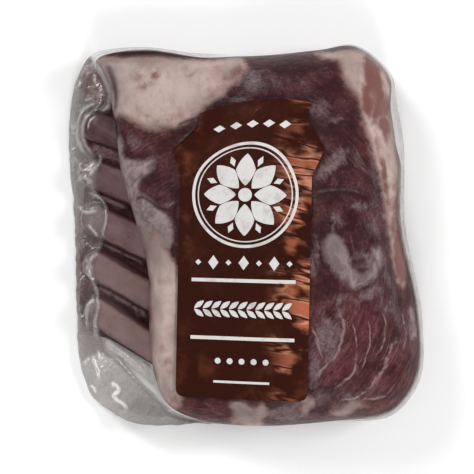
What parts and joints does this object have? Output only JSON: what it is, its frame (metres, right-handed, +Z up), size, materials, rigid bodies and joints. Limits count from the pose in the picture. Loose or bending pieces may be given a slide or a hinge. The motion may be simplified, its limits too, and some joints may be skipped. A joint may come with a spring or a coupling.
{
  "type": "vacuum-packed raw lamb rack",
  "caption": "Raw short rack of lamb shrunk tight in a clear vacuum bag, with its rib ends in a skirt of gathered film and one plain die-cut foil label on the fat side.",
  "frame": {"origin": "under the middle of the pack's bounding box, on the surface that the pack lies on", "axes": "+X from the rib ends towards the loin, +Y along the loin towards the label's arched top, +Z up, out of the label side"},
  "size_m": [0.1814, 0.1958, 0.045],
  "materials": {
    "film_and_meat": "clear glossy film, shrunk on dark red meat and cream-pink fat",
    "label_foil": "dark copper-brown metallized film, slightly creased",
    "clear_film": "clear film, milky where it is loose or folded",
    "raw_meat": "moist dark red muscle with cream-pink fat and grey silverskin",
    "rib_bone": "purple-grey rib bones under their thin membrane",
    "label_print": "off-white print"
  },
  "bodies": {
    "root": {"vacuum_bag": "film_and_meat", "label": "label_foil"}
  },
  "joints": []
}
